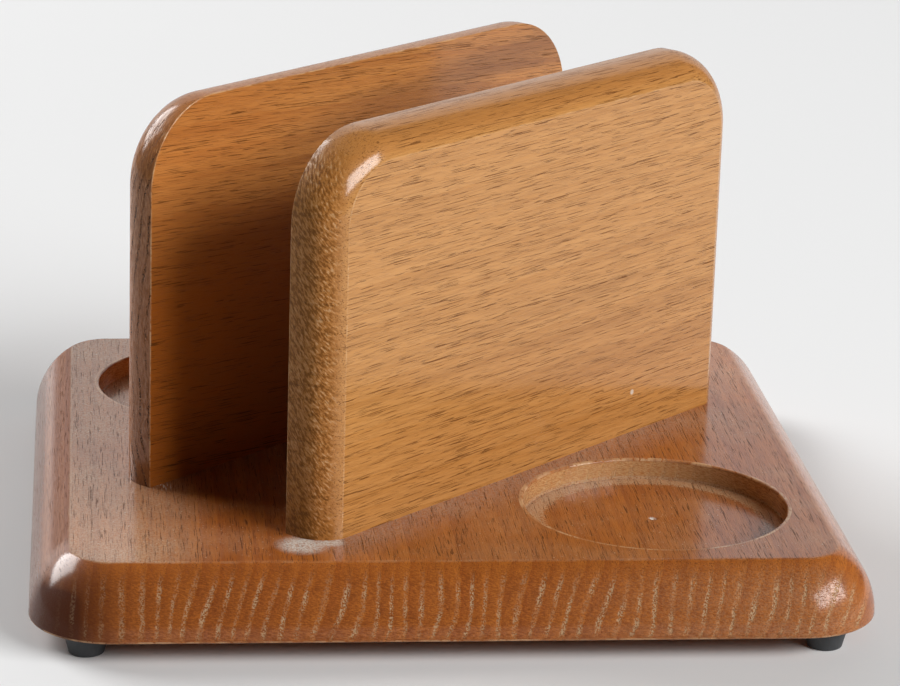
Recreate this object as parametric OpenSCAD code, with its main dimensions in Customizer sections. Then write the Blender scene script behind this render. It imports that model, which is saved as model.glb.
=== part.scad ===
// Napkin holder with two round wells for shakers.
// An oak board stands on four rubber feet and carries two upright plates, set across it on the
// diagonal, with the napkins between them. Millimetres, +Z up, origin on the table under the
// middle of the board, +X to the right and -Y to the front.

/* [Base board] */
// Width of the board, left to right
base_w = 198; // [180:0.5:240]
// Depth of the board, front to back
base_d = 190.5; // [175:0.5:230]
// Thickness of the board
base_t = 16.4; // [12:0.1:18]
// Radius of the board's corners in plan, along its bottom edge
base_corner_r = 19.5; // [16:0.5:40]
// Radius of the rounding of the board's edge, which stands upright at the bottom
base_edge_r = 19; // [18.5:0.1:24]

/* [Shaker wells] */
// Diameter of each well
well_d = 63.5; // [45:0.5:66]
// Depth of each well
well_depth = 4.8; // [2:0.1:8]
// Distance from a well to the crease on the board's left or right side
well_side_margin = 7.3; // [4:0.1:12]
// Distance from a well to the crease on the board's front or rear side
well_end_margin = 6.6; // [4:0.1:12]

/* [Napkin slot] */
// Clear width between the two plates
slot_w = 44.3; // [25:0.1:48]
// Angle of the slot from the front edge of the board
slot_angle = 44.3; // [35:0.1:55]
// Distance of the slot's middle line from the middle of the board, towards the rear left
slot_shift = 1.6; // [-2:0.1:2]
// Distance of the plates' middle from the middle of the board, towards the rear right
slot_slide = 2.5; // [-6:0.1:6]

/* [Plates] */
// Length of each plate
plate_l = 155.7; // [110:0.1:170]
// Height of the front plate above the board
front_plate_h = 95; // [60:0.1:130]
// Height of the rear plate above the board
rear_plate_h = 94; // [60:0.1:130]
// Thickness of each plate
plate_t = 12.1; // [10:0.1:14]
// Radius of the two upper corners of a plate
plate_corner_r = 21; // [12:0.5:40]
// Radius of the rounding along the top and the ends of a plate's outer face
plate_edge_r = 9.5; // [9.2:0.1:14]
// Depth of that rounding from a plate's outer face, which it meets in a crease
plate_edge_cut = 9; // [4:0.1:9.1]

/* [Feet] */
// Height of each foot
foot_h = 5.3; // [4.5:0.1:9]
// Diameter of a foot where it meets the board
foot_top_d = 10.6; // [10:0.1:14]
// Diameter of a foot near the table
foot_bottom_d = 8.4; // [8:0.1:10]
// Radius of the rounding of a foot's bottom edge
foot_edge_r = 0.6; // [0.2:0.1:0.8]
// Distance from the middle of a foot to the left or right side of the board
foot_side_inset = 13.3; // [12:0.1:24]
// Distance from the middle of a foot to the front or rear side of the board
foot_end_inset = 9.5; // [9:0.1:24]

/* [Foot screws] */
// Diameter of a foot screw's shank
foot_screw_d = 2.5; // [2:0.1:2.8]
// Length of a foot screw under its head
foot_screw_l = 11; // [8:0.5:12]
// Diameter of a foot screw's round head
foot_screw_head_d = 4.6; // [4:0.1:5]
// Height of a foot screw's round head
foot_screw_head_h = 1.5; // [1:0.1:1.8]
// Diameter of the washer in a foot
foot_washer_d = 5.2; // [5:0.1:5.6]
// Thickness of the washer in a foot
foot_washer_t = 0.6; // [0.4:0.1:1]
// Depth of the washer's upper face above the table
foot_recess_h = 3.3; // [3.1:0.1:3.8]

/* [Plate screws] */
// Diameter of a plate screw's shank
plate_screw_d = 4.2; // [3:0.1:5]
// Length of a plate screw
plate_screw_l = 38; // [28:1:50]
// Diameter of a plate screw's countersunk head
plate_screw_head_d = 8.2; // [6.5:0.1:10]
// Depth of a plate screw's head below the underside of the board
plate_screw_sink = 0.8; // [0.3:0.1:2]
// Distance from an end of a plate to its screw
plate_screw_inset = 30; // [20:0.5:45]

/* [Hidden] */
$fn = 96;
// Gap all round between a screw or washer and its hole
screw_clear = 0.1;
// Length by which a cut runs past a face
overrun = 1;
// Length of a screw's point, as a share of its diameter
screw_point_share = 1.6;
// Size of a screw's cross recess, as shares of its head
cross_l_share = 0.56;
cross_w_share = 0.13;
cross_depth_share = 0.2;

left = -1;
right = 1;
front = -1;
rear = 1;

base_top = foot_h + base_t;
// Distance from the board's outline in to the crease where the rounding meets the top
crease_inset = base_edge_r - sqrt(base_edge_r * base_edge_r - base_t * base_t);
well_x = base_w / 2 - crease_inset - well_side_margin - well_d / 2;
well_y = base_d / 2 - crease_inset - well_end_margin - well_d / 2;
foot_x = base_w / 2 - foot_side_inset;
foot_y = base_d / 2 - foot_end_inset;
foot_washer_z = foot_recess_h - foot_washer_t;
plate_screw_x = plate_l / 2 - plate_screw_inset;

oak_base = "#8f4f20";
oak_front = "#b07a3c";
oak_rear = "#a5602a";
black_rubber = "#1c1c1d";
zinc_steel = "#b9bbbd";

// Section of the board's rounded edge: upright at the bottom, with a crease at the top
module base_edge_section() {
    intersection() {
        square([base_corner_r, base_t]);
        union() {
            square([base_corner_r - crease_inset, base_t]);
            translate([base_corner_r - base_edge_r, 0]) circle(base_edge_r);
        }
    }
}

// Straight stretch of the board's edge, facing +X, from the line through the corners' centres
module base_edge_bar(length) {
    rotate([90, 0, 0]) linear_extrude(length, center = true) base_edge_section();
}

// Board without its holes, with its underside at z = 0
module base_blank() {
    core_w = base_w - 2 * base_corner_r;
    core_d = base_d - 2 * base_corner_r;
    translate([-core_w / 2, -core_d / 2, 0]) cube([core_w, core_d, base_t]);
    for (turn = [0, 180]) {
        rotate(turn) translate([core_w / 2, 0, 0]) base_edge_bar(core_d);
        rotate(turn + 90) translate([core_d / 2, 0, 0]) base_edge_bar(core_w);
        rotate(turn) translate([core_w / 2, core_d / 2, 0])
            rotate_extrude(angle = 90) base_edge_section();
        rotate(turn) translate([-core_w / 2, core_d / 2, 0])
            rotate(90) rotate_extrude(angle = 90) base_edge_section();
    }
}

// Section across a plate, from its middle out to an edge: square inside, rounded outside up to a crease
module plate_section(reach) {
    intersection() {
        square([reach, plate_t]);
        union() {
            square([reach, plate_t - plate_edge_cut]);
            square([reach - plate_edge_r, plate_t]);
            translate([reach - plate_edge_r, plate_t - plate_edge_cut]) circle(plate_edge_r);
        }
    }
}

// Plate of a given height: inner face on y = 0, outer face towards +Y, standing on z = 0
module plate_blank(height) {
    straight_h = height - plate_corner_r;
    straight_l = plate_l - 2 * plate_corner_r;
    linear_extrude(straight_h) {
        plate_section(plate_l / 2);
        mirror([1, 0]) plate_section(plate_l / 2);
    }
    translate([0, 0, straight_h]) {
        rotate([0, -90, 0]) linear_extrude(straight_l, center = true) plate_section(plate_corner_r);
        for (end = [0, 1]) mirror([end, 0, 0])
            translate([straight_l / 2, 0, 0])
                rotate([-90, 0, 0]) rotate(-90) rotate_extrude(angle = 90) plate_section(plate_corner_r);
    }
}

// Place of a plate: +Y away from the slot, y = 0 on the slot's side
module at_plate(side) {
    rotate(slot_angle) translate([slot_slide, slot_shift, 0])
        rotate(side == front ? 180 : 0) translate([0, slot_w / 2, 0]) children();
}

// Place of a plate screw's head, counted along the front edge of the board
module at_plate_screw(side, end) {
    along = side == front ? -end : end;
    at_plate(side) translate([along * plate_screw_x, plate_t / 2, foot_h + plate_screw_sink]) children();
}

// Place on the table under a foot
module at_foot(end, side) {
    translate([end * foot_x, side * foot_y, 0]) children();
}

// Countersunk screw with its head on z = 0, grown all round by a clearance
module countersunk_body(grow) {
    shank_r = plate_screw_d / 2 + grow;
    head_r = plate_screw_head_d / 2 + grow;
    cone_h = head_r - shank_r;
    point_h = plate_screw_d * screw_point_share;
    tip_z = plate_screw_l + grow;
    rotate_extrude() polygon([
        [0, 0],
        [head_r, 0],
        [shank_r, cone_h],
        [shank_r, tip_z - point_h],
        [0, tip_z]
    ]);
}

// Round-headed screw with its head under z = 0
module round_headed_body() {
    shank_r = foot_screw_d / 2;
    point_h = foot_screw_d * screw_point_share;
    dome_r = (foot_screw_head_d * foot_screw_head_d / 4 + foot_screw_head_h * foot_screw_head_h)
        / (2 * foot_screw_head_h);
    rotate_extrude() {
        polygon([
            [0, -foot_screw_head_h / 2],
            [shank_r, -foot_screw_head_h / 2],
            [shank_r, foot_screw_l - point_h],
            [0, foot_screw_l]
        ]);
        intersection() {
            translate([0, dome_r - foot_screw_head_h]) circle(dome_r);
            translate([0, -foot_screw_head_h]) square([foot_screw_head_d / 2, foot_screw_head_h]);
        }
    }
}

// Cross recess in a screw head that faces down, with its mouth on z = 0
module cross_recess(head_d) {
    depth = head_d * cross_depth_share;
    arm_l = head_d * cross_l_share;
    arm_w = head_d * cross_w_share;
    for (turn = [0, 90]) rotate(turn)
        translate([-arm_l / 2, -arm_w / 2, -overrun]) cube([arm_l, arm_w, depth + overrun]);
}

// Pilot hole in the board for a foot screw, counted from the table
module foot_pilot() {
    tip_z = foot_washer_z + foot_screw_l + screw_clear;
    translate([0, 0, foot_h - overrun])
        cylinder(d = foot_screw_d + 2 * screw_clear, h = tip_z - foot_h + overrun);
}

module base_board() {
    color(oak_base) difference() {
        translate([0, 0, foot_h]) base_blank();
        for (end = [left, right]) translate([end * well_x, -end * well_y, base_top - well_depth])
            cylinder(d = well_d, h = well_depth + overrun);
        for (side = [front, rear], end = [left, right]) {
            at_plate_screw(side, end) countersunk_body(screw_clear);
            at_plate_screw(side, end) translate([0, 0, -plate_screw_sink - overrun])
                cylinder(d = plate_screw_head_d + 2 * screw_clear, h = plate_screw_sink + overrun);
            at_foot(end, side) foot_pilot();
        }
    }
}

module plate(side, height) {
    difference() {
        at_plate(side) translate([0, 0, base_top]) plate_blank(height);
        for (end = [left, right]) at_plate_screw(side, end) countersunk_body(screw_clear);
    }
}

module front_plate() {
    color(oak_front) plate(front, front_plate_h);
}

module rear_plate() {
    color(oak_rear) plate(rear, rear_plate_h);
}

// Tapered foot with a stepped hole for its screw and washer
module foot(end, side) {
    top_r = foot_top_d / 2;
    bottom_r = foot_bottom_d / 2;
    color(black_rubber) at_foot(end, side) difference() {
        rotate_extrude() {
            polygon([[0, foot_edge_r], [bottom_r, foot_edge_r], [top_r, foot_h], [0, foot_h]]);
            square([bottom_r - foot_edge_r, 2 * foot_edge_r]);
            translate([bottom_r - foot_edge_r, foot_edge_r]) circle(foot_edge_r);
        }
        translate([0, 0, -overrun])
            cylinder(d = foot_washer_d + 2 * screw_clear, h = foot_recess_h + overrun);
        translate([0, 0, foot_recess_h - overrun])
            cylinder(d = foot_screw_d + 2 * screw_clear, h = foot_h - foot_recess_h + 2 * overrun);
    }
}

// Washer at the top of a foot's recess
module foot_washer(end, side) {
    color(zinc_steel) at_foot(end, side) translate([0, 0, foot_washer_z]) difference() {
        cylinder(d = foot_washer_d, h = foot_washer_t);
        translate([0, 0, -overrun])
            cylinder(d = foot_screw_d + 2 * screw_clear, h = foot_washer_t + 2 * overrun);
    }
}

// Round-headed screw up through a foot into the board
module foot_screw(end, side) {
    color(zinc_steel) at_foot(end, side) translate([0, 0, foot_washer_z]) difference() {
        round_headed_body();
        translate([0, 0, -foot_screw_head_h]) cross_recess(foot_screw_head_d);
    }
}

// Countersunk screw up through the board into a plate
module plate_screw(side, end) {
    color(zinc_steel) at_plate_screw(side, end) difference() {
        countersunk_body(0);
        cross_recess(plate_screw_head_d);
    }
}

base_board();
front_plate();
rear_plate();
foot(left, front);  // foot_front_left
foot(right, front);  // foot_front_right
foot(left, rear);  // foot_rear_left
foot(right, rear);  // foot_rear_right
foot_washer(left, front);  // foot_washer_front_left
foot_washer(right, front);  // foot_washer_front_right
foot_washer(left, rear);  // foot_washer_rear_left
foot_washer(right, rear);  // foot_washer_rear_right
foot_screw(left, front);  // foot_screw_front_left
foot_screw(right, front);  // foot_screw_front_right
foot_screw(left, rear);  // foot_screw_rear_left
foot_screw(right, rear);  // foot_screw_rear_right
plate_screw(front, left);  // front_plate_screw_left
plate_screw(front, right);  // front_plate_screw_right
plate_screw(rear, left);  // rear_plate_screw_left
plate_screw(rear, right);  // rear_plate_screw_right
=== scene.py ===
# %% [markdown]
# # A napkin holder in stained oak
# An oak board on four rubber feet carries two upright oak plates, set across it on the diagonal.
# Napkins stand between the plates, and two round wells in the board hold shakers. The CAD model
# gives every size and place. This lesson adds what it leaves out: softened edges, wood grain,
# varnish, wear, dust and light.

# %% The packed model as a fixed frame
import bmesh
import bpy
from math import asin, cos, pi, radians, sin
from mathutils import Matrix, Quaternion, Vector


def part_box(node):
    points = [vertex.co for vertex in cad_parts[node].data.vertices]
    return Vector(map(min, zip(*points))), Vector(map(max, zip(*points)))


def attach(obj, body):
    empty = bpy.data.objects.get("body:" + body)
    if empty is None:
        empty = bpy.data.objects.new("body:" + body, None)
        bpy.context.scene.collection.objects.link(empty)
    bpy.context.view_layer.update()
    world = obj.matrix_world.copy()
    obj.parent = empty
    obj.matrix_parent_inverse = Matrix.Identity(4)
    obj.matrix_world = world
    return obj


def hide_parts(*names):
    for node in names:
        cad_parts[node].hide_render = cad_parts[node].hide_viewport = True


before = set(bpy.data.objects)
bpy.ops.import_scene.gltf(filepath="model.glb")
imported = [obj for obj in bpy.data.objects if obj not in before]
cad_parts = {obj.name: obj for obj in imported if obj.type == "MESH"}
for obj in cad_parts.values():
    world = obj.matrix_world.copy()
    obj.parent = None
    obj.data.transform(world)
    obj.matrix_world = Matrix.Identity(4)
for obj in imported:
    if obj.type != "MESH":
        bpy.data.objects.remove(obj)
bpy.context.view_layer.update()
scene = bpy.context.scene
MM = 0.001
print("CAD nodes:", len(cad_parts))

# %% [markdown]
# ## Camera
# A camera can be placed by hand or by numbers. Numbers are better when a picture has to be matched:
# the direction, the distance and a slight roll fix it fully. The long lens keeps the plates' edges
# almost parallel, as a product photographer would want them.

# %% Camera at the photograph's angle
AIM = Vector((4.81, 0.11, 47.06)) * MM
CAMERA_AZIMUTH = radians(-6.087)
CAMERA_ELEVATION = radians(17.243)
CAMERA_ROLL = radians(1.806)
CAMERA_DISTANCE = 900.8 * MM
LENS = 144.15
CLIP_NEAR = 0.01


def direction(azimuth, elevation):
    """Unit vector from the object to where a camera stands."""
    level = cos(elevation)
    return Vector((sin(azimuth) * level, -cos(azimuth) * level, sin(elevation)))


camera = bpy.data.objects.new("camera", bpy.data.cameras.new("camera"))
towards = direction(CAMERA_AZIMUTH, CAMERA_ELEVATION)
camera.location = AIM + towards * CAMERA_DISTANCE
camera.rotation_mode = "QUATERNION"
camera.rotation_quaternion = (-towards).to_track_quat("-Z", "Y") @ Quaternion((0, 0, 1), CAMERA_ROLL)
camera.data.lens = LENS
camera.data.clip_start = CLIP_NEAR
scene.collection.objects.link(camera)
scene.camera = camera
print("camera at", [round(c, 4) for c in camera.location])

# %% [markdown]
# ## Floor and light
# The holder stands on a pale studio sweep. A wide box light at the front right models the plates, and
# one at the rear left draws the white highlights on the rounded corners. Varnished wood shows its
# surroundings, so a tall pale panel stands behind for the board's top and the plates to reflect.

# %% Studio
scene.view_settings.view_transform = "Standard"
FLOOR_HALF = 6.0
FLOOR_TONE = (0.80, 0.80, 0.80, 1)
FLOOR_ROUGHNESS = 0.9
ROOM_LIGHT = 0.03

bm = bmesh.new()
bmesh.ops.create_grid(bm, x_segments=1, y_segments=1, size=FLOOR_HALF)
floor_mesh = bpy.data.meshes.new("floor")
bm.to_mesh(floor_mesh)
bm.free()
floor = bpy.data.objects.new("floor", floor_mesh)
scene.collection.objects.link(floor)
paper = bpy.data.materials.new("pale paper")
paper.use_nodes = True
paper_shader = paper.node_tree.nodes["Principled BSDF"]
paper_shader.inputs["Base Color"].default_value = FLOOR_TONE
paper_shader.inputs["Roughness"].default_value = FLOOR_ROUGHNESS
floor_mesh.materials.append(paper)

world = bpy.data.worlds.new("studio")
world.use_nodes = True
room_shader = world.node_tree.nodes["Background"]
room_shader.inputs["Color"].default_value = (1, 1, 1, 1)
room_shader.inputs["Strength"].default_value = ROOM_LIGHT
scene.world = world
print("floor and room light", ROOM_LIGHT)

# %% Three soft lights
HOLDER = (0, 0, 0.05)
ABOVE_HOLDER = (0, 0, 0.9)


def box_light(name, place, aim, width, height, power):
    """A soft rectangular lamp that faces a point."""
    lamp = bpy.data.lights.new(name, "AREA")
    lamp.shape = "RECTANGLE"
    lamp.size = width
    lamp.size_y = height
    lamp.energy = power
    light = bpy.data.objects.new(name, lamp)
    light.location = place
    light.rotation_mode = "QUATERNION"
    light.rotation_quaternion = (Vector(aim) - Vector(place)).to_track_quat("-Z", "Y")
    scene.collection.objects.link(light)


box_light("front right box", (2.13, -1.52, 1.52), HOLDER, width=2.5, height=1.15, power=109)
box_light("rear left box", (-1.94, 1.68, 1.56), HOLDER, width=1.9, height=1.6, power=76)
box_light("back panel", (0.0, 3.8, 1.8), ABOVE_HOLDER, width=8.0, height=3.6, power=62)

# %% [markdown]
# ## Base board
# The maker sawed a square board, rounded its corners, ran a cutter round its upper edge and bored
# two wells. The cutter's arc stands upright at the bottom and meets the top in a crease. A bevel
# modifier rounds edges evenly, so it can't leave that crease. Here one flat face is walked inwards and
# upwards with inset_region, one small step for each point of the arc, which is how the edge is cut.

# %% A rounded face that is walked through a profile
base_low, base_high = (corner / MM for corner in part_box("base_board"))
BASE_W, BASE_D, BASE_T = base_high - base_low
BASE_BOTTOM, BASE_TOP = base_low.z, base_high.z
BASE_CORNER_R = 19.5
BASE_EDGE_R = 19.0
CORNER_STEPS = 20
ARC_STEPS = 14
SOFT_STEPS = 3
NEAR = 0.01
MERGE_GAP = 0.001


def rounded_face(width, depth, corner_r):
    """One flat face with rounded corners, centred on the origin. Its wear layer marks rubbed edges."""
    bm = bmesh.new()
    bm.faces.layers.float.new("wear")
    bmesh.ops.create_grid(bm, x_segments=1, y_segments=1, size=0.5)
    bmesh.ops.scale(bm, vec=(width, depth, 1), verts=bm.verts)
    bmesh.ops.bevel(bm, geom=bm.verts[:], offset=corner_r, affect="VERTICES",
                    segments=CORNER_STEPS, profile=0.5, material=-1)
    return bm


def level_face(bm, height):
    """The large flat face at a height."""
    level = [f for f in bm.faces if all(abs(v.co.z - height) < NEAR for v in f.verts)]
    return max(level, key=lambda f: f.calc_area())


def step_in(bm, height, inset, rise):
    """Inset the flat face at a height and raise what is left of it."""
    bmesh.ops.inset_region(bm, faces=[level_face(bm, height)], thickness=inset, depth=rise,
                           use_even_offset=True, use_boundary=True)


def walk(bm, profile):
    """Take a face through (inset, rise) points, leaving a wall behind it."""
    for (inset, rise), (next_inset, next_rise) in zip(profile, profile[1:]):
        step_in(bm, rise, next_inset - inset, next_rise - rise)


def close_start(bm):
    """Put a face on the open outline where a walk began."""
    bmesh.ops.contextual_create(bm, geom=[e for e in bm.edges if e.is_boundary])


def soften(bm, height, radius, wear):
    """Rub the outline of the flat face at a height round, and mark the new faces as worn."""
    made = bmesh.ops.bevel(bm, geom=level_face(bm, height).edges[:], offset=radius, affect="EDGES",
                           segments=SOFT_STEPS, profile=0.5, material=-1)
    layer = bm.faces.layers.float["wear"]
    for face in made["faces"]:
        face[layer] = wear


def edge_arc(radius, cut, start=0.0):
    """A cutter's arc as (inset, rise) points: upright at its start, with a crease at the depth of the cut."""
    last = asin(cut / radius)
    return [(radius * (1 - cos(last * i / ARC_STEPS)), start + radius * sin(last * i / ARC_STEPS))
            for i in range(ARC_STEPS + 1)]


board_arc = edge_arc(BASE_EDGE_R, BASE_T)
board = rounded_face(BASE_W, BASE_D, BASE_CORNER_R)
walk(board, board_arc)
close_start(board)
print("board edge rises", round(board_arc[-1][1], 2), "and comes in", round(board_arc[-1][0], 2))

# %% [markdown]
# The crease and the bottom edge are rubbed by hand and cloth. They get a small bevel, and a narrow
# flat ring beside it keeps the big flat faces flat under smooth shading.

# %% Rubbed edges of the board
CREASE_R = 0.5
BOTTOM_R = 0.6
FLAT_RING = 0.6
soften(board, BASE_T, CREASE_R, wear=0.2)
soften(board, 0, BOTTOM_R, wear=0.7)
for level in (0, BASE_T):
    step_in(board, level, FLAT_RING, 0)
bmesh.ops.delete(board, geom=[level_face(board, 0), level_face(board, BASE_T)], context="FACES_ONLY")
bmesh.ops.translate(board, vec=(0, 0, BASE_BOTTOM), verts=board.verts)
print("board so far:", len(board.faces), "faces")

# %% [markdown]
# A well is turned by a cutter, so it is a profile spun about the cutter's axis: a rubbed rim, an
# upright wall and a shallow groove from the cutter's spurs. The pock that its point left a little off
# the middle and the screw holes from the underside are spun in the same way. The flat faces are then
# filled in round all the rims.

# %% Places and sizes of the holes
FOOT_X, FOOT_Y = 85.7, 85.75
SLOT_ANGLE = radians(44.3)
SLOT_W = 44.3
SLOT_SHIFT, SLOT_SLIDE = 1.6, 2.5
PLATE_L, PLATE_T = 155.7, 12.1
SCREW_HOLE_R = 2.2
SCREW_HEAD_R = 4.2
SCREW_SINK = 0.8
SCREW_REACH = 47.85
PILOT_R, PILOT_TOP = 1.35, 13.8
HOLE_STEPS = 32
REAR, FRONT = 1, -1


def spin_profile(bm, profile, centre, steps):
    """Turn a chain of (radius, height) points into a round surface and return its faces."""
    before = set(bm.faces)
    points = [bm.verts.new((centre[0] + radius, centre[1], height)) for radius, height in profile]
    chain = [bm.edges.new(pair) for pair in zip(points, points[1:])]
    bmesh.ops.spin(bm, geom=points + chain, cent=(centre[0], centre[1], 0), axis=(0, 0, 1),
                   angle=2 * pi, steps=steps, use_merge=True)
    bmesh.ops.remove_doubles(bm, verts=bm.verts, dist=MERGE_GAP)
    return [face for face in bm.faces if face not in before]


def fill_level(bm, height, normal):
    """Fill one level between its outline and the rims of its holes."""
    rims = [e for e in bm.edges if e.is_boundary and all(abs(v.co.z - height) < NEAR for v in e.verts)]
    bmesh.ops.triangle_fill(bm, edges=rims, use_beauty=True, normal=normal)


def screw_places(side):
    """Where the two screws of a plate come up, in the board's plane."""
    turn = Matrix.Rotation(SLOT_ANGLE, 2)
    across = SLOT_SHIFT + side * (SLOT_W + PLATE_T) / 2
    return [turn @ Vector((SLOT_SLIDE + along, across)) for along in (-SCREW_REACH, SCREW_REACH)]


print("screws come up at", [tuple(round(c, 1) for c in place) for place in screw_places(FRONT)])

# %% Profiles of the wells
WELL_R = 31.75
WELL_DEPTH = 4.8
WELL_X, WELL_Y = 50.544, 47.494
RIM_R = 0.5
RIM_WEAR = 1.0
GROOVE_W, GROOVE_DEPTH = 0.7, 0.25
GROOVE_LIP, GROOVE_EASE, FLOOR_RING = 0.1, 0.4, 1.2
POCK_R, POCK_DEPTH = 1.3, 0.6
POCK_SHOULDER = 0.4
POCK_OFF_X, POCK_OFF_Y = 0.3, 2.1
WELL_STEPS = 128
QUARTER_STEPS = 4
QUARTER_TURN = [pi / 2 * i / QUARTER_STEPS for i in range(QUARTER_STEPS + 1)]
floor_z = BASE_TOP - WELL_DEPTH
groove_z = floor_z - GROOVE_DEPTH
groove_r = WELL_R - GROOVE_W
rim_arc = [(WELL_R + RIM_R * (1 - sin(a)), BASE_TOP - RIM_R * (1 - cos(a))) for a in QUARTER_TURN]
well_profile = [(WELL_R + RIM_R + FLAT_RING, BASE_TOP)] + rim_arc + [
    (WELL_R, groove_z), (WELL_R - GROOVE_W / 2, groove_z), (groove_r, floor_z - GROOVE_LIP),
    (groove_r - GROOVE_EASE, floor_z), (groove_r - FLOOR_RING, floor_z)]
pock_profile = [(POCK_R + FLAT_RING, floor_z), (POCK_R, floor_z),
                (POCK_R / 2, floor_z - POCK_DEPTH * POCK_SHOULDER), (0, floor_z - POCK_DEPTH)]
print("a well's profile has", len(well_profile), "points")

# %% Wells and screw holes
head_top = BASE_BOTTOM + SCREW_SINK
screw_profile = [(SCREW_HEAD_R, BASE_BOTTOM), (SCREW_HEAD_R, head_top),
                 (SCREW_HOLE_R, head_top + SCREW_HEAD_R - SCREW_HOLE_R), (SCREW_HOLE_R, BASE_TOP)]
pilot_profile = [(PILOT_R, BASE_BOTTOM), (PILOT_R, PILOT_TOP), (0, PILOT_TOP)]
wear = board.faces.layers.float["wear"]
for side in (REAR, FRONT):
    pock_place = (-side * (WELL_X + POCK_OFF_X), side * (WELL_Y - POCK_OFF_Y))
    spin_profile(board, pock_profile, pock_place, HOLE_STEPS)
    for face in spin_profile(board, well_profile, (-side * WELL_X, side * WELL_Y), WELL_STEPS):
        if face.calc_center_median().z > BASE_TOP - RIM_R:
            face[wear] = RIM_WEAR
    for place in screw_places(side):
        spin_profile(board, screw_profile, place, HOLE_STEPS)
    for foot_x in (-FOOT_X, FOOT_X):
        spin_profile(board, pilot_profile, (foot_x, side * FOOT_Y), HOLE_STEPS)
fill_level(board, floor_z, (0, 0, 1))
fill_level(board, BASE_TOP, (0, 0, 1))
fill_level(board, BASE_BOTTOM, (0, 0, -1))
print("open edges left in the board:", sum(e.is_boundary for e in board.edges))

# %% [markdown]
# A shape becomes a piece of the model when it is scaled to metres, has its normals turned outwards and
# stands in for a CAD node. Its object stays at the origin, with its place in its mesh, so that a pattern
# on Object coordinates doesn't slide. Edges sharper than an angle stay sharp under smooth shading.

# %% From millimetres to a finished object
SHARP = radians(38)


def finish_piece(bm, name, node):
    """Scale a mesh to metres, shade it smooth between sharp edges and put it in the node's place."""
    bmesh.ops.scale(bm, vec=(MM, MM, MM), verts=bm.verts)
    bmesh.ops.recalc_face_normals(bm, faces=bm.faces)
    for face in bm.faces:
        face.smooth = True
    mesh = bpy.data.meshes.new(name)
    bm.to_mesh(mesh)
    bm.free()
    mesh.set_sharp_from_angle(angle=SHARP)
    piece = bpy.data.objects.new(name, mesh)
    scene.collection.objects.link(piece)
    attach(piece, "root")
    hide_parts(node)
    print(name, "has", len(mesh.polygons), "faces")
    return piece


base_board = finish_piece(board, "oak_board", "base_board")

# %% [markdown]
# ## Plates
# Each plate is rounded on its outer side only: a cutter followed one end, the corner, the top, the
# other corner and the other end, and left a crease on the outer face as it did on the board. The side
# towards the napkins stayed sharp, and the foot of the plate is square. The easy way is to model the
# plate together with its mirror image below, walk the whole outline through the cutter's arc, and saw
# the lower half off with bisect_plane.

# %% Two plates
PLATE_CORNER_R = 21.0
PLATE_EDGE_R = 9.5
PLATE_EDGE_CUT = 9.0
PLATE_CREASE_R = 0.2
INNER_EDGE_R = 0.25
PLATE_SCREW_TIP = 44.2
SCREW_POINT = 6.72


def make_plate(side, node, name):
    """A plate standing on the board, rounded away from the slot."""
    low, high = (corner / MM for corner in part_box(node))
    height = high.z - low.z
    bm = rounded_face(PLATE_L, 2 * height, PLATE_CORNER_R)
    walk(bm, [(0, 0)] + edge_arc(PLATE_EDGE_R, PLATE_EDGE_CUT, PLATE_T - PLATE_EDGE_CUT))
    close_start(bm)
    soften(bm, 0, INNER_EDGE_R, wear=0.6)
    soften(bm, PLATE_T, PLATE_CREASE_R, wear=0.3)
    for level in (0, PLATE_T):
        step_in(bm, level, FLAT_RING, 0)
    everything = bm.verts[:] + bm.edges[:] + bm.faces[:]
    bmesh.ops.bisect_plane(bm, geom=everything, plane_co=(0, 0, 0), plane_no=(0, 1, 0), clear_inner=True)
    stand = Matrix.Rotation(pi / 2, 4, "X")
    turn = Matrix.Rotation(pi if side == REAR else 0, 4, "Z")
    shift = Matrix.Translation((SLOT_SLIDE, SLOT_SHIFT + side * SLOT_W / 2, low.z))
    placed = Matrix.Rotation(SLOT_ANGLE, 4, "Z") @ shift @ turn @ stand
    bmesh.ops.transform(bm, matrix=placed, verts=bm.verts)
    for place in screw_places(side):
        spin_profile(bm, [(SCREW_HOLE_R, low.z), (SCREW_HOLE_R, PLATE_SCREW_TIP - SCREW_POINT),
                          (0, PLATE_SCREW_TIP)], place, HOLE_STEPS)
    fill_level(bm, low.z, (0, 0, -1))
    print("open edges left in", name, sum(e.is_boundary for e in bm.edges))
    return finish_piece(bm, name, node)


front_plate = make_plate(FRONT, "front_plate", "oak_front")
rear_plate = make_plate(REAR, "rear_plate", "oak_rear")

# %% [markdown]
# ## Feet
# A rubber foot is a moulded ring: a tapered skirt with a rolled bottom edge and a stepped hole that
# takes a washer and a screw. It is round, so one closed profile is spun.

# %% Four rubber feet
FOOT_H = BASE_BOTTOM
FOOT_TOP_R, FOOT_BOTTOM_R = 5.3, 4.2
FOOT_EDGE_R = 0.6
FOOT_TOP_EDGE = 0.25
RECESS_R, RECESS_H = 2.7, 3.3
FOOT_STEPS = 64


def make_foot(node):
    """One foot under a corner of the board."""
    low, high = (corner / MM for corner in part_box(node))
    centre = (low + high) / 2
    bottom_arc = [(FOOT_BOTTOM_R - FOOT_EDGE_R + FOOT_EDGE_R * cos(a), FOOT_EDGE_R - FOOT_EDGE_R * sin(a))
                  for a in QUARTER_TURN]
    profile = [(PILOT_R, FOOT_H), (FOOT_TOP_R - FOOT_TOP_EDGE, FOOT_H),
               (FOOT_TOP_R, FOOT_H - FOOT_TOP_EDGE)] + bottom_arc + [
               (RECESS_R, 0), (RECESS_R, RECESS_H), (PILOT_R, RECESS_H), (PILOT_R, FOOT_H)]
    bm = bmesh.new()
    spin_profile(bm, profile, centre, FOOT_STEPS)
    return finish_piece(bm, "rubber_" + node, node)


feet = [make_foot(node) for node in sorted(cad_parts)
        if node.startswith("foot_") and not node.startswith(("foot_screw", "foot_washer"))]

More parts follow.
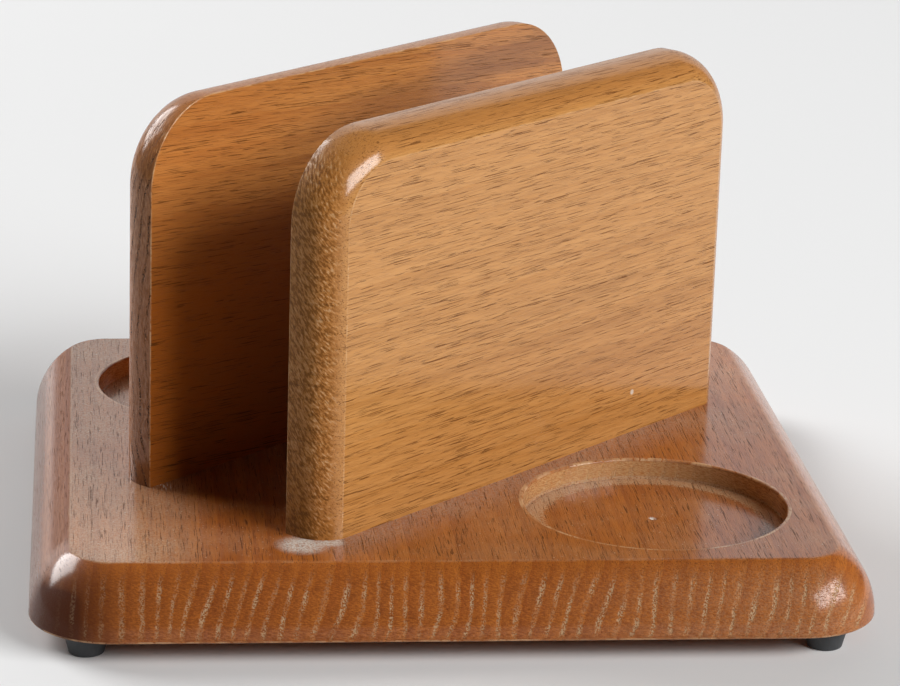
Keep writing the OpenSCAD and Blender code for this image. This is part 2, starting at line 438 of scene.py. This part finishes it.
# %% [markdown]
# ## Writing materials as sums
# A node tree is a sum written with wires. One small class lets it be written as Python: a value that
# is added or multiplied adds the Math node by itself, and every other node comes from one method.

# %% Values that add up
class Value:
    """An output of a node. Arithmetic on it adds Math nodes to its finish."""

    def __init__(self, finish, socket):
        self.finish = finish
        self.socket = socket

    def math(self, operation, *terms):
        return self.finish.node("ShaderNodeMath", {"operation": operation}, dict(enumerate(terms)))

    def __add__(self, term):
        return self.math("ADD", self, term)

    def __radd__(self, term):
        return self.math("ADD", term, self)

    def __sub__(self, term):
        return self.math("SUBTRACT", self, term)

    def __rsub__(self, term):
        return self.math("SUBTRACT", term, self)

    def __mul__(self, term):
        return self.math("MULTIPLY", self, term)

    def __rmul__(self, term):
        return self.math("MULTIPLY", term, self)

    def __truediv__(self, term):
        return self.math("DIVIDE", self, term)

    def __rtruediv__(self, term):
        return self.math("DIVIDE", term, self)

    def between(self, low, high):
        """0 below low, 1 above high, eased between them. A low above high turns it round."""
        return self.finish.node("ShaderNodeMapRange", {"interpolation_type": "SMOOTHSTEP"},
                                {"Value": self, "From Min": low, "From Max": high})


sums = [name for name in vars(Value) if name.endswith(("add__", "sub__", "mul__", "truediv__"))]
print("operators that add a Math node:", len(sums))


# %% A material that is being written
class Finish:
    """A material that is being written."""

    def __init__(self, name):
        self.material = bpy.data.materials.new(name)
        self.material.use_nodes = True
        self.tree = self.material.node_tree
        self.shader = self.tree.nodes["Principled BSDF"]

    def put(self, socket, value):
        """Link a value to a socket, or set a plain number, colour or vector on it."""
        if isinstance(value, Value):
            self.tree.links.new(value.socket, socket)
        else:
            socket.default_value = value

    def node(self, kind, settings=None, sockets=None, output=0):
        """Add a node, with its settings first, and return one of its outputs."""
        made = self.tree.nodes.new(kind)
        for name, setting in (settings or {}).items():
            setattr(made, name, setting)
        for key, value in (sockets or {}).items():
            self.put(made.inputs[key], value)
        return Value(self, made.outputs[output])

    def vector(self, operation, first, second, output=0):
        return self.node("ShaderNodeVectorMath", {"operation": operation}, {0: first, 1: second}, output)

    def mix(self, first, second, factor):
        """A colour between two colours."""
        return self.node("ShaderNodeMix", {"data_type": "RGBA"}, {0: factor, 6: first, 7: second}, output=2)

    def noise(self, place, detail=2.0):
        return self.node("ShaderNodeTexNoise", None, {"Vector": place, "Scale": 1.0, "Detail": detail}, "Fac")

    def bump(self, height, strength, distance):
        return self.node("ShaderNodeBump", None,
                         {"Strength": strength, "Distance": distance, "Height": height})

    def set(self, **sockets):
        """Set or link sockets of the shader, with _ for a space in their names."""
        for name, value in sockets.items():
            self.put(self.shader.inputs[name.replace("_", " ")], value)


print("a finish can add:", [name for name in vars(Finish) if not name.startswith("_")])

# %% [markdown]
# ## Oak
# Oak is ring porous. Each year starts with a row of wide vessels and ends in dense wood, so sawn
# faces show dashes along the grain and the ends show dotted rings. A picture of wood wraps badly
# round a solid, so the tree itself is modelled: rings about a pith that lies outside the piece, and
# noise drawn out along the grain as vessels and fibres, all in millimetres and in three dimensions.
# Ends and faces then agree by themselves.

# %% A sawn piece of wood
END_SLOPE, BUTT_SLOPE = (0.40, 0.80), (0.80, 0.98)


class SawnPiece(Finish):
    """A finish in millimetres that knows its grain, along X, its cut ends and its rubbed edges."""

    def __init__(self, name, turn, tip, seed):
        super().__init__(name)
        metres = self.node("ShaderNodeTexCoord", output="Object")
        self.place = self.vector("MULTIPLY", metres, (1 / MM, 1 / MM, 1 / MM))
        level = self.node("ShaderNodeMapping", None, {
            "Vector": self.place, "Location": (seed, 0, 0), "Rotation": (0, 0, -turn)})
        self.grain = self.node("ShaderNodeMapping", None, {"Vector": level, "Rotation": (0, tip, 0)})
        self.facing = self.node("ShaderNodeNewGeometry", output="Normal")
        along = self.measured(self.facing, (cos(turn), sin(turn), 0))
        slope = along.math("ABSOLUTE", along)
        self.end = slope.between(*END_SLOPE)
        self.butt = slope.between(*BUTT_SLOPE)
        self.rub = self.node("ShaderNodeAttribute", {"attribute_name": "wear"}, output="Fac")

    def measured(self, vector, line):
        """How far a vector reaches along a line."""
        return self.vector("DOT_PRODUCT", vector, line, "Value")

    def axis(self, vector, name):
        return self.node("ShaderNodeSeparateXYZ", None, {"Vector": vector}, name)

    def drawn(self, length, width, detail=2.0):
        """Noise drawn out along the grain, with its length and its width in millimetres."""
        return self.noise(self.vector("MULTIPLY", self.grain, (1 / length, 1 / width, 1 / width)), detail)

    def clouds(self, size, detail=2.0):
        """Noise with lumps of one size in all directions."""
        return self.noise(self.vector("MULTIPLY", self.place, (1 / size, 1 / size, 1 / size)), detail)

    def near(self, point, inner, outer):
        """1 within an inner distance of a point on the holder, 0 beyond an outer one."""
        return self.vector("DISTANCE", self.place, point, "Value").between(outer, inner)


print("a sawn piece adds:", [name for name in vars(SawnPiece) if not name.startswith("_")])

# %% Rings, vessels and fibres
MIDDLE = 0.5
FRAY_DEPTH, DRIFT_YEARS = 0.9, 1.4
FAINT_ROW, ROW_SWELL = 0.25, 0.05
ROW_START, ROW_STOP, ROW_END = 0.4, 0.7, 1.2
HAIR_LENGTH, HAIR_WIDTH = 0.7, 1.1
STROKE_REACH, DOT_W = 4, 0.36
PORE_EDGE, OPEN_EDGE = (0.625, 0.655), (0.42, 0.56)
FADE_EDGE, PAINTED_GLEAM_EDGE, HAIR_EDGE = (0.38, 0.60), (0.40, 0.30), (0.50, 0.60)


class OakPattern(SawnPiece):
    """The rings, vessels and strokes of one sawn piece of oak."""

    def __init__(self, name, turn, tip, pith, seed, ring_w, row_w, vessel, skew, stroke, sway, cut):
        super().__init__(name, turn, tip, seed)
        self.cut = self.end * cut
        self.rings(pith, ring_w, row_w, sway)
        self.vessels(*vessel)
        self.strokes(skew, *stroke)

    def rings(self, pith, ring_w, row_w, sway):
        """Years as circles about the pith: row marks the vessels that open each year."""
        bend = (self.drawn(length=110, width=16) - MIDDLE) * sway
        across = self.axis(self.grain, "Y") - pith[0] + bend
        height = self.axis(self.grain, "Z") - pith[1]
        radius = across.math("SQRT", across * across + height * height)
        fray = (self.drawn(length=12, width=1.1) - MIDDLE) * FRAY_DEPTH
        years = (radius + fray) / ring_w + self.drawn(length=400, width=15, detail=0.0) * DRIFT_YEARS
        phase = years.math("FRACT", years)
        self.year = self.node("ShaderNodeTexWhiteNoise", {"noise_dimensions": "1D"},
                              {"W": years.math("FLOOR", years)}, "Value")
        fade = self.drawn(length=60, width=5).between(*FADE_EDGE) * (1 - FAINT_ROW) + FAINT_ROW
        width = row_w / ring_w
        opens = phase.between(0.0, width * ROW_START) * phase.between(width * ROW_END, width * ROW_STOP)
        self.row = opens * fade
        self.late = phase.between(width, 1.0)

    def vessels(self, length, width):
        """Open pores, thickest in the row that starts a year, a painted highlight beside them, and the finer
        lines between them.
        """
        vessel = self.drawn(length, width)
        self.pores = (vessel + self.row * ROW_SWELL).between(*PORE_EDGE)
        self.painted_gleam = vessel.between(*PAINTED_GLEAM_EDGE)
        self.hair = self.drawn(length * HAIR_LENGTH, width * HAIR_WIDTH).between(*HAIR_EDGE)
        self.fibre = self.drawn(length=18, width=0.5, detail=3.0)
        self.streak = self.drawn(length=140, width=4, detail=3.0)

    def strokes(self, skew, length, width):
        """The short strokes of cut vessels and rays that an end shows instead of dashes."""
        turned = self.node("ShaderNodeMapping", None, {"Vector": self.grain, "Rotation": (skew, 0, 0)})
        reach = 1 / STROKE_REACH
        self.stroke = self.noise(self.vector("MULTIPLY", turned, (reach, 1 / width, 1 / length)))
        self.dots = self.noise(self.vector("MULTIPLY", turned, (reach, 1 / DOT_W, 1 / DOT_W)), detail=1.0)
        self.open = self.row * self.end * self.dots.between(*OPEN_EDGE)


print("oak pattern ready, with pores from", PORE_EDGE)

# %% [markdown]
# Wood is coloured from the inside out: the clean wood first, then bare wood where edges are rubbed,
# then the varnish. A real varnish film is broken over open pores and soaks away into cut ends. A bump
# can't break a clear coat's highlight by itself, so the coat's weight is lowered there.

# %% Colour, wear and varnish of the oak
LATE_TONE, YEAR_TONE = 0.5, 0.4
STREAK_TONE, FIBRE_TONE, HAIR_TONE, PAINTED_GLEAM_TONE = 0.3, 0.18, 0.22, 0.3
STREAK_EDGE, FIBRE_EDGE = (0.45, 0.75), (0.45, 0.70)
DARK_STROKE, PALE_STROKE = (0.46, 0.56), (0.44, 0.34)
LEAST_RUB, RUB_EDGE, RUB_GRAIN = 0.3, (0.45, 0.60), (0.30, 0.48)
BUMP_DEPTH = 0.12 * MM
FIBRE_RELIEF, HAIR_RELIEF, PORE_RELIEF, OPEN_RELIEF, STROKE_RELIEF = 0.3, 0.3, 0.5, 0.8, 1.6
PORE_BREAK, OPEN_BREAK, STROKE_BREAK = 0.5, 1.2, 0.6
DEEP_STROKE = (0.50, 0.60)
WOOD_ROUGH, PORE_ROUGH, FIBRE_ROUGH = 0.40, 0.25, 0.2


class Oak(OakPattern):
    """A piece of oak that can be coloured, worn and varnished."""

    def tone(self, early, late, dark):
        """Clean wood: paler where a year starts, darker in streaks, hair lines and cut ends, with a painted
        highlight beside the pores.
        """
        colour = self.mix(early, late, self.late * LATE_TONE + self.year * YEAR_TONE)
        colour = self.mix(colour, dark, self.streak.between(*STREAK_EDGE) * STREAK_TONE)
        lines = self.fibre.between(*FIBRE_EDGE) * FIBRE_TONE + self.hair * HAIR_TONE
        colour = self.mix(colour, dark, lines)
        # painted highlight: the wood is paler beside the pores, standing in for light on their relief
        colour = self.mix(colour, early, self.painted_gleam * PAINTED_GLEAM_TONE)
        colour = self.mix(colour, dark, self.cut * self.stroke.between(*DARK_STROKE))
        return self.mix(colour, early, self.cut * self.stroke.between(*PALE_STROKE))

    def worn(self, colour, bare):
        """Bare wood where an edge is rubbed, in patches."""
        patches = self.clouds(size=7).between(*RUB_EDGE) * (1 - LEAST_RUB) + LEAST_RUB
        rubbed = self.rub * patches * self.drawn(length=3, width=0.8).between(*RUB_GRAIN)
        return self.mix(colour, bare, rubbed)

    def varnish(self, colour, coat, coat_rough, dry):
        """A satin varnish that leaves the pores open and soaks into dry ends."""
        relief = self.fibre * FIBRE_RELIEF - self.hair * HAIR_RELIEF - self.pores * PORE_RELIEF
        relief = relief - self.open * OPEN_RELIEF + self.cut * self.stroke * STROKE_RELIEF
        strokes = self.end * self.stroke.between(*DEEP_STROKE)
        broken = self.pores * PORE_BREAK + self.open * OPEN_BREAK + strokes * STROKE_BREAK
        film = coat - broken - self.end * dry
        self.set(Base_Color=colour, Normal=self.bump(relief, strength=1.0, distance=BUMP_DEPTH),
                 Roughness=self.pores * PORE_ROUGH + self.fibre * FIBRE_ROUGH + WOOD_ROUGH,
                 Coat_Weight=film.math("MAXIMUM", film, 0.0),
                 Coat_Roughness=coat_rough, IOR=1.5, Specular_IOR_Level=0.1)
        return self.material


print("wood roughness from", WOOD_ROUGH, "to", WOOD_ROUGH + PORE_ROUGH + FIBRE_ROUGH)

# %% [markdown]
# ## Finish of the board
# The board's grain runs from front to back, so its front edge shows the rings. Its left corner, its
# left flank and the left part of its front edge are painted darker as painted shade, where the lamps
# leave the wood dark, and a band of the edge above the flank is duller and painted a little darker.
# Such places could be painted into a picture, but a mask made from where a point lies and which way
# it faces needs no picture.

# %% Clean wood and painted shade of the board
SHADE_BROWN = (0.09, 0.022, 0.006, 1)
SHADE_CENTRE = (-94, -93, 11)
CORNER_SHADE, BAND_SHADE, FLANK_SHADE, FRONT_SHADE = 0.7, 0.3, 0.5, 0.14

board_oak = Oak("board oak", turn=radians(90), tip=0, pith=(-223, -40), seed=37.0, ring_w=3.7, row_w=1.3,
                vessel=(6, 0.20), skew=radians(80), stroke=(0.9, 0.18), sway=0.5, cut=0.5)
colour = board_oak.tone(early=(0.450, 0.134, 0.0180, 1), late=(0.320, 0.079, 0.0100, 1),
                        dark=(0.160, 0.034, 0.0050, 1))
x, y, z = (board_oak.axis(board_oak.place, name) for name in "XYZ")
sideways, steep = (board_oak.axis(board_oak.facing, name) for name in "XZ")
# painted shade: a dark brown is painted over the front left corner, the left flank, a band above it and the
# left part of the front edge, where little light falls
shaded_corner = board_oak.near(SHADE_CENTRE, inner=5, outer=24)
dull_shaded_band = sideways.between(-0.20, -0.40) * steep.between(0.60, 0.75) * y.between(-74, -66)
shaded_flank = sideways.between(-0.30, -0.60) * steep.between(0.62, 0.45)
shaded_front = board_oak.end * x.between(0, -80)
painted_shade = shaded_corner * CORNER_SHADE + dull_shaded_band * BAND_SHADE + shaded_flank * FLANK_SHADE + shaded_front * FRONT_SHADE
colour = board_oak.mix(colour, SHADE_BROWN, painted_shade)
print("board oak so far:", len(board_oak.tree.nodes), "nodes")

# %% [markdown]
# The boring cutter left the wells' walls raw and pale. Which points lie in a well follows from their
# distance to its middle and their depth below the board's top.

# %% Raw walls of the wells
RAW_WALL = (0.58, 0.33, 0.14, 1)
WELL_EDGE = (32.2, 31.9)
WALL_GRAIN, LEAST_WALL = 0.55, 0.3
WALL_STROKE = (0.38, 0.58)


def below_top(start, stop):
    """0 where the board is at one depth below its top, 1 where it is at another, eased between them."""
    return z.between(BASE_TOP - start, BASE_TOP - stop)


level_place = board_oak.vector("MULTIPLY", board_oak.place, (1, 1, 0))
gaps = [board_oak.vector("DISTANCE", level_place, (-side * WELL_X, side * WELL_Y, 0), "Value")
        for side in (REAR, FRONT)]
gap = gaps[0].math("MINIMUM", *gaps)
well = gap.between(*WELL_EDGE) * below_top(8.0, 6.0)
low = below_top(4.2, 4.5)
wall = below_top(0.4, 0.7) * (1 - low) * well
raw = wall * (board_oak.stroke.between(*WALL_STROKE) * WALL_GRAIN + LEAST_WALL)
colour = board_oak.mix(colour, RAW_WALL, raw)
print("wells at", [(-side * WELL_X, side * WELL_Y) for side in (REAR, FRONT)])

# %% [markdown]
# The front edge is painted paler towards the right, as painted sheen. Dust settles round the wells'
# floors and lies in clouds. Over the left side of the top the pale film is partly dust and partly
# painted light, which lifts the shade that the rear plate casts there, and a strip in front of the
# front plate is partly dust and partly painted sheen. Dust is finer than the grain, so one fine noise
# speckles every layer of it.

# %% Painted sheen, dust and painted light
WAX_AND_SHEEN = (0.56, 0.38, 0.22, 1)
DUST_AND_SHEEN_GREY = (0.44, 0.34, 0.30, 1)
DUST_AND_LIGHT_TONE = (0.56, 0.42, 0.28, 1)
RING_DUST = (0.60, 0.40, 0.23, 1)
LEFT_FILM, CLOUD_FILM = 0.36, 0.18
RING_RAGGED, GRAIN_DUST = 5, 0.6
SLOT_ALONG = (cos(SLOT_ANGLE), sin(SLOT_ANGLE), 0)
SLOT_ACROSS = (-sin(SLOT_ANGLE), cos(SLOT_ANGLE), 0)
FRONT_FACE = SLOT_SHIFT - SLOT_W / 2 - PLATE_T
fine = board_oak.clouds(size=0.5)
cloud = board_oak.clouds(size=22, detail=3.0)
up = steep.between(0.90, 0.99)


def speckled(low, high, depth, least):
    """A strength that varies with the fine noise."""
    return fine.between(low, high) * depth + least


# painted sheen: the front edge is painted paler towards the right, where the lamps' reflection lies on it
colour = board_oak.mix(colour, WAX_AND_SHEEN, board_oak.end * x.between(0, 90) * speckled(0.40, 0.60, 0.14, 0.06))
# partly dust and partly painted light: the left side of the top is painted paler, lifting the shade there
settled_and_lit = x.between(-54, -70) * LEFT_FILM + cloud.between(0.40, 0.70) * CLOUD_FILM
film = settled_and_lit * speckled(0.30, 0.60, 0.6, 0.4)
ahead = board_oak.measured(board_oak.place, SLOT_ACROSS) - FRONT_FACE
span = board_oak.measured(board_oak.place, SLOT_ALONG)
strip = ahead.between(-16, -1) * ahead.between(0.5, 0.0) * span.between(80, 50) * span.between(-84, -70)
# partly dust and partly painted sheen: a greyish strip in front of the front plate's foot
dust_and_sheen_strip = strip * speckled(0.35, 0.60, 0.35, 0.15)
ragged = (gap + (fine - MIDDLE) * RING_RAGGED).between(26.0, 27.6)
ring = low * ragged * well * speckled(0.30, 0.55, 0.5, 0.2)
grains = board_oak.clouds(size=0.7, detail=1.0).between(0.68, 0.74) * cloud.between(0.35, 0.55) * GRAIN_DUST
colour = board_oak.mix(colour, RING_DUST, ring)
colour = board_oak.mix(colour, DUST_AND_SHEEN_GREY, up * dust_and_sheen_strip)
colour = board_oak.mix(colour, DUST_AND_LIGHT_TONE, up * (film + grains))
print("board oak so far:", len(board_oak.tree.nodes), "nodes")

# %% [markdown]
# Last come the pores, pale wax in the open rings of the front edge, lint, a small pile at the front
# plate's foot and crumbs by the rear one, and a pale speck in the pock of the well. Then the board is
# varnished.

# %% Pores, lint and varnish of the board
OPEN_PORE = (0.085, 0.026, 0.008, 1)
LINT_AND_SPECK_TONE = (0.74, 0.68, 0.60, 1)
BARE_BOARD = (0.60, 0.36, 0.19, 1)
PORE_DEPTH, END_FILL, FILM_FILL = 0.85, 0.65, 0.45
WAX_FILL, LEAST_WAX = 0.75, 0.3
PILE, PILE_TAIL, CRUMBS = (-36, -75.2, BASE_TOP), (-29, -73.4, BASE_TOP), (-67.5, -34.5, BASE_TOP)
SPECK = (WELL_X, POCK_OFF_Y - WELL_Y, floor_z)
BOARD_COAT, DULL_LOSS, CORNER_COAT_LOSS = 0.95, 0.7, 0.6

hollow = board_oak.pores * (PORE_DEPTH - board_oak.end * END_FILL - film * FILM_FILL)
colour = board_oak.mix(colour, OPEN_PORE, hollow)
shown = z.between(21, 16) * z.between(5.4, 7.5) * (x.between(-88, -60) * (1 - LEAST_WAX) + LEAST_WAX)
colour = board_oak.mix(colour, WAX_AND_SHEEN, board_oak.open * shown * WAX_FILL)
pile = board_oak.near(PILE, inner=2.5, outer=7.5) + board_oak.near(PILE_TAIL, inner=1.0, outer=4.0)
# a pale speck in the pock of the well
speck = board_oak.near(SPECK, inner=0.5, outer=1.2) * board_oak.dots.between(0.35, 0.50)
crumbs = board_oak.near(CRUMBS, inner=0.5, outer=4.0) * board_oak.dots.between(0.55, 0.62)
lint_and_speck = up * (pile * speckled(0.40, 0.55, 0.5, 0.4) + crumbs) + speck
colour = board_oak.worn(board_oak.mix(colour, LINT_AND_SPECK_TONE, lint_and_speck), BARE_BOARD)
coat = BOARD_COAT - dull_shaded_band * DULL_LOSS - shaded_corner * z.between(18, 13) * CORNER_COAT_LOSS
base_board.data.materials.append(board_oak.varnish(colour, coat, coat_rough=0.18, dry=0.2))
print("board oak has", len(board_oak.tree.nodes), "nodes")

# %% [markdown]
# ## Finish of the plates
# The plates are the same oak, stained lighter, and their pores stayed dark. Stain gathered on the
# rounding and soaked into the cut ends, so both are darker than the faces. Both plates go through one
# function, because only their wood and a few strengths differ.

# %% What both plates share
PLATE_PORE = (0.155, 0.050, 0.0080, 1)
END_PORE = (0.030, 0.012, 0.005, 1)
STAIN_AND_BOUNCE = (0.40, 0.135, 0.022, 1)
BARE_PLATE = (0.66, 0.42, 0.22, 1)
ROUNDING_EDGE = (0.97, 0.80)
BARE_STROKE = (0.43, 0.33)
ROUNDING_STAIN, BUTT_SOAK, STROKE_SOAK = 0.4, 0.42, 0.38
BARE_ENDS, BUTT_BARE = 0.6, 0.45
PLATE_COAT, PLATE_COAT_ROUGH = 0.85, 0.16


def plate_finish(wood, piece, colour, ring_mark, soaked, dry):
    """Stained rounding, pores, dotted rings on the ends and worn edges over the clean wood of a plate."""
    across = wood.measured(wood.facing, SLOT_ACROSS)
    rounding = across.math("ABSOLUTE", across).between(*ROUNDING_EDGE)
    colour = wood.mix(colour, STAIN_AND_BOUNCE, rounding * ROUNDING_STAIN)
    colour = wood.mix(colour, soaked, wood.butt * BUTT_SOAK)
    colour = wood.mix(colour, END_PORE, wood.cut * wood.stroke.between(*DEEP_STROKE) * STROKE_SOAK)
    bare = wood.cut * wood.stroke.between(*BARE_STROKE) * (BARE_ENDS - wood.butt * BUTT_BARE)
    colour = wood.mix(colour, BARE_PLATE, bare)
    colour = wood.mix(colour, PLATE_PORE, wood.pores * (PORE_DEPTH - wood.end * END_FILL))
    colour = wood.mix(colour, END_PORE, wood.open * ring_mark)
    colour = wood.worn(colour, BARE_PLATE)
    piece.data.materials.append(wood.varnish(colour, PLATE_COAT, PLATE_COAT_ROUGH, dry))
    print(wood.material.name, "has", len(wood.tree.nodes), "nodes")


print("plates have a coat of", PLATE_COAT, "with a roughness of", PLATE_COAT_ROUGH)

# %% [markdown]
# The front plate is pale tan, with a small chip low on its face. Its foot is painted warmer, as painted
# bounce light from the board, and its side towards the napkins is painted darker, as painted shade in
# the slot.

# %% Finish of the front plate
SLOT_SHADE = (0.26, 0.085, 0.016, 1)
CHIP = (0.66, 0.58, 0.48, 1)
CHIP_PLACE = (52.2, 5.3, 32.4)
INNER_EDGE = (0.90, 0.98)
SLOT_SHADE_TONE, FOOT_BOUNCE = 0.75, 0.2

front_oak = Oak("front plate oak", turn=SLOT_ANGLE, tip=0, pith=(-20, -140), seed=13.0, ring_w=3.4, row_w=1.1,
                vessel=(9, 0.20), skew=radians(35), stroke=(1.3, 0.42), sway=1.8, cut=0.9)
colour = front_oak.tone(early=(0.520, 0.249, 0.073, 1), late=(0.460, 0.204, 0.050, 1),
                        dark=(0.280, 0.106, 0.0190, 1))
colour = front_oak.mix(colour, CHIP, front_oak.near(CHIP_PLACE, inner=0.4, outer=0.9))
# painted shade: the side towards the napkins is painted darker, so that less light bounces into the slot
inner = front_oak.measured(front_oak.facing, SLOT_ACROSS).between(*INNER_EDGE)
colour = front_oak.mix(colour, SLOT_SHADE, inner * SLOT_SHADE_TONE)
# painted bounce light: the foot of the plate is painted warmer, as light from the board would tint it
colour = front_oak.mix(colour, STAIN_AND_BOUNCE, front_oak.axis(front_oak.place, "Z").between(65, 35) * FOOT_BOUNCE)
plate_finish(front_oak, front_plate, colour, ring_mark=0.2, soaked=(0.145, 0.066, 0.016, 1), dry=0.65)

# %% [markdown]
# The rear plate was sawn flat, so its rings stand upright on its end and a dark flame crosses its face.
# A redder, darker tone is painted low down, as painted shade between the plates, and towards its left end.

# %% Finish of the rear plate
RED_SHADE_TONE = (0.44, 0.125, 0.017, 1)
FLAME = (0.150, 0.055, 0.022, 1)
LOW_SHADE, LEFT_RED = 0.7, 0.35
FLAME_HEIGHT, FLAME_CLIMB, FLAME_WAVER = 101.5, 0.1, 14
FLAME_TONE = 0.5

rear_oak = Oak("rear plate oak", turn=SLOT_ANGLE, tip=radians(-4), pith=(-90, 55), seed=57.0, ring_w=2.6,
               row_w=0.8, vessel=(9, 0.20), skew=radians(5), stroke=(1.5, 0.3), sway=1.8, cut=0.6)
colour = rear_oak.tone(early=(0.530, 0.222, 0.056, 1), late=(0.430, 0.160, 0.036, 1),
                       dark=(0.210, 0.060, 0.0140, 1))
along = rear_oak.measured(rear_oak.place, SLOT_ALONG)
height = rear_oak.axis(rear_oak.place, "Z")
# painted shade: redder and darker low down, in the slot between the plates, and towards the left end
red_shade = height.between(95, 60) * LOW_SHADE + along.between(-10, -60) * LEFT_RED
colour = rear_oak.mix(colour, RED_SHADE_TONE, red_shade)
rise = height - along * FLAME_CLIMB - FLAME_HEIGHT + (rear_oak.streak - MIDDLE) * FLAME_WAVER
flame = rise.math("ABSOLUTE", rise).between(8, 1) * along.between(-45, 0)
colour = rear_oak.mix(colour, FLAME, flame * FLAME_TONE)
plate_finish(rear_oak, rear_plate, colour, ring_mark=0.9, soaked=(0.100, 0.054, 0.030, 1), dry=0.1)

# %% [markdown]
# ## Rubber and zinc
# Black rubber is never quite black: it greys where it is touched. The screws and washers keep their
# CAD shape and get a zinc finish, a metal with a slightly clouded, spangled skin. Both are small, so
# a bloom and a fine grit are enough, counted here in lumps to the metre.

# %% Finish of the rubber feet
RUBBER_BLACK, RUBBER_GREY = (0.020, 0.022, 0.024, 1), (0.050, 0.054, 0.058, 1)
RUBBER_ROUGH, BLOOM_ROUGH = 0.45, 0.2
SKIN_DEPTH = 0.0001


def lumps(finish, per_metre):
    """Object coordinates, stretched to so many lumps to the metre."""
    place = finish.node("ShaderNodeTexCoord", output="Object")
    return finish.vector("MULTIPLY", place, (per_metre, per_metre, per_metre))


rubber = Finish("black rubber")
bloom = rubber.noise(lumps(rubber, 900), detail=3.0)
grit = rubber.noise(lumps(rubber, 4500))
rubber.set(Base_Color=rubber.mix(RUBBER_BLACK, RUBBER_GREY, bloom),
           Roughness=bloom * BLOOM_ROUGH + RUBBER_ROUGH,
           Normal=rubber.bump(grit, strength=0.25, distance=SKIN_DEPTH))
for foot in feet:
    foot.data.materials.append(rubber.material)
print("rubber on", len(feet), "feet")

# %% Finish of the screws and washers
ZINC_DARK, ZINC_PALE = (0.42, 0.43, 0.45, 1), (0.66, 0.66, 0.67, 1)
SPANGLE_SHARE, CLOUD_SHARE = 0.5, 0.5
ZINC_ROUGH, CLOUD_ROUGH = 0.28, 0.25

zinc = Finish("zinc steel")
spangle = zinc.node("ShaderNodeTexVoronoi", None, {"Vector": lumps(zinc, 1400), "Scale": 1.0}, "Color")
grey = zinc.node("ShaderNodeSeparateColor", None, {"Color": spangle}, "Red")
clouded = zinc.noise(lumps(zinc, 700), detail=3.0)
zinc.set(Base_Color=zinc.mix(ZINC_DARK, ZINC_PALE, grey * SPANGLE_SHARE + clouded * CLOUD_SHARE),
         Roughness=clouded * CLOUD_ROUGH + ZINC_ROUGH, Metallic=1.0,
         Normal=zinc.bump(clouded, strength=0.15, distance=SKIN_DEPTH))
for node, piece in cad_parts.items():
    if "screw" in node or "washer" in node:
        piece.data.materials.clear()
        piece.data.materials.append(zinc.material)
print("materials:", [m.name for m in bpy.data.materials if m.users])

# %% [markdown]
# The finished model has to stay in the CAD model's box.
